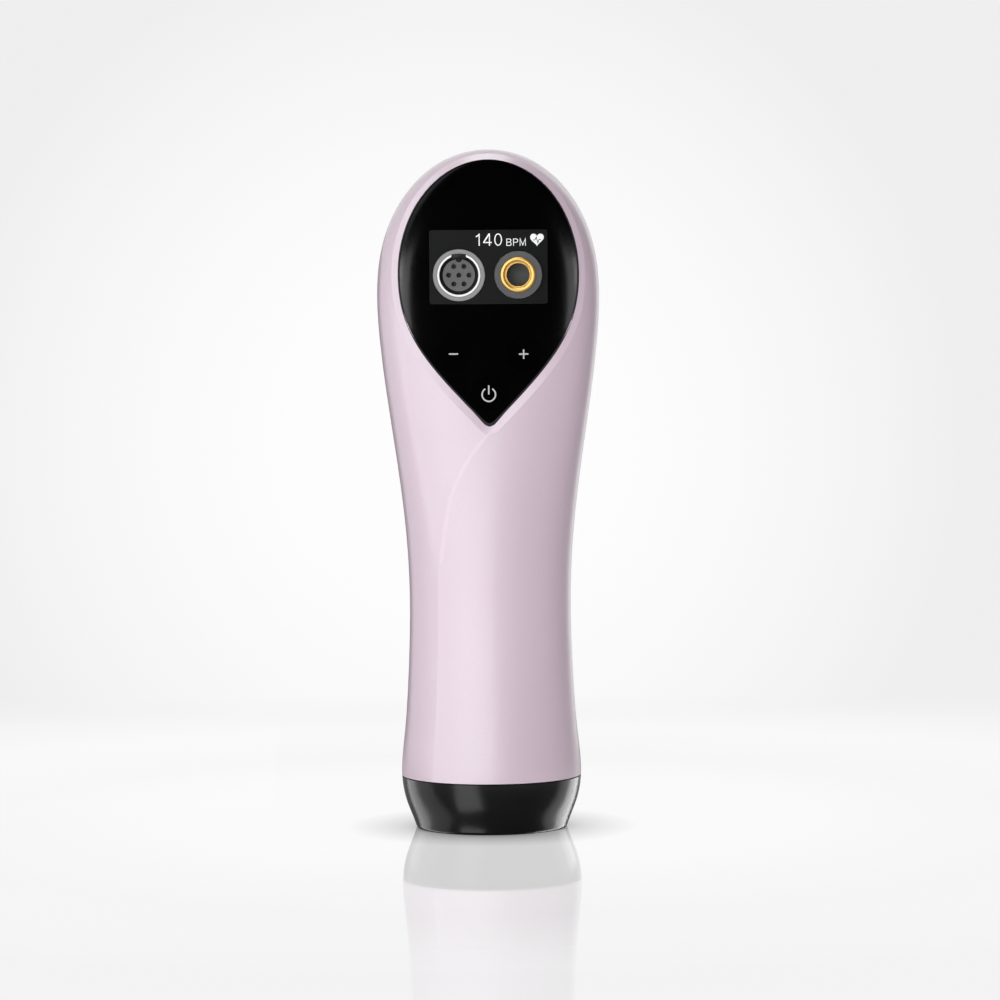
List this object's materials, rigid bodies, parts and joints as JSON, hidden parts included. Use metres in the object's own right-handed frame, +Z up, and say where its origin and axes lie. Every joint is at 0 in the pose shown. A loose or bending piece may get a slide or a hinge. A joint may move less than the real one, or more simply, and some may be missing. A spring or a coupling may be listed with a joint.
{
  "type": "fetal doppler monitor",
  "caption": "Hand-held fetal doppler with a pale pink waisted grip, a black teardrop panel with a small display, two sockets and three keys, and a black probe cap.",
  "frame": {"origin": "centre of the sole of the probe cap, on the surface that the monitor stands on", "axes": "+Z up from the probe to the crown, -Y out of the control panel, +X to the right of someone facing the panel"},
  "size_m": [0.0522, 0.038, 0.16],
  "materials": {
    "case_pearl": "pale lilac-pink pearl moulded plastic",
    "cap_black": "gloss black moulded plastic",
    "panel_black": "polished black panel",
    "window_smoke": "smoked dark window",
    "key_black": "polished black key cap",
    "ring_steel": "turned nickel-plated ring",
    "insert_grey": "grey insulating insert",
    "jack_gilt": "gilt ring",
    "contact_brass": "brass",
    "washer_dark": "dark grey washer",
    "probe_grey": "grey acoustic window resin",
    "seal_rubber": "black rubber",
    "crystal_ceramic": "fired ceramic",
    "backing_rubber": "damping compound",
    "inner_white": "natural white plastic",
    "display_glass": "dark display strip",
    "board_green": "green circuit board",
    "chip_black": "black component plastic",
    "screw_steel": "zinc-plated steel",
    "speaker_black": "black frame and paper cone",
    "speaker_cloth": "thin black cloth",
    "cell_sleeve": "plain sleeved cell",
    "contact_plate": "nickel-plated spring strip"
  },
  "bodies": {
    "case": {"acoustic_face": "probe_grey", "amplifier_chip": "chip_black", "battery_bridge": "contact_plate", "battery_left": "cell_sleeve", "battery_plates": "contact_plate", "battery_right": "cell_sleeve", "battery_spring_left": "contact_plate", "battery_spring_right": "contact_plate", "battery_tray": "inner_white", "board_connector": "chip_black", "board_screws": "screw_steel", "board_spacer_1": "contact_brass", "board_spacer_2": "contact_brass", "board_spacer_3": "contact_brass", "board_spacer_4": "contact_brass", "case_screw_1": "screw_steel", "case_screw_2": "screw_steel", "case_screw_3": "screw_steel", "case_screw_4": "screw_steel", "crystal_carrier": "inner_white", "display_holder": "inner_white", "display_module": "display_glass", "display_window": "window_smoke", "face_lens": "panel_black", "front_shell": "case_pearl", "jack_barrel": "chip_black", "jack_contact": "contact_brass", "jack_ring": "jack_gilt", "jack_washer": "washer_dark", "main_board": "board_green", "minus_switch": "chip_black", "panel_board": "board_green", "plus_switch": "chip_black", "power_switch": "chip_black", "probe_cap": "cap_black", "probe_seal": "seal_rubber", "processor_chip": "chip_black", "rear_shell": "case_pearl", "receive_backing": "backing_rubber", "receive_crystal": "crystal_ceramic", "socket_barrel": "ring_steel", "socket_contacts": "contact_brass", "socket_insert": "insert_grey", "socket_ring": "ring_steel", "speaker_cloth": "speaker_cloth", "speaker_cone": "speaker_black", "speaker_frame": "speaker_black", "speaker_magnet": "screw_steel", "transmit_backing": "backing_rubber", "transmit_crystal": "crystal_ceramic"},
    "minus_key_body": {"minus_key": "key_black", "minus_plunger": "inner_white"},
    "plus_key_body": {"plus_key": "key_black", "plus_plunger": "inner_white"},
    "power_key_body": {"power_key": "key_black", "power_plunger": "inner_white"},
    "battery_door_body": {"battery_door": "case_pearl"}
  },
  "joints": [
    {"name": "minus_press", "type": "slide", "parent": "case", "child": "minus_key_body", "axis": [0, 1, 0], "range_m": [0, 0.00035], "stiffness_N_per_m": 400, "springref_m": -0.002},
    {"name": "plus_press", "type": "slide", "parent": "case", "child": "plus_key_body", "axis": [0, 1, 0], "range_m": [0, 0.00035], "stiffness_N_per_m": 400, "springref_m": -0.002},
    {"name": "power_press", "type": "slide", "parent": "case", "child": "power_key_body", "axis": [0, 1, 0], "range_m": [0, 0.00035], "stiffness_N_per_m": 400, "springref_m": -0.002},
    {"name": "battery_door_lift", "type": "slide", "parent": "case", "child": "battery_door_body", "axis": [0, 1, 0], "range_m": [0, 0.025]}
  ]
}
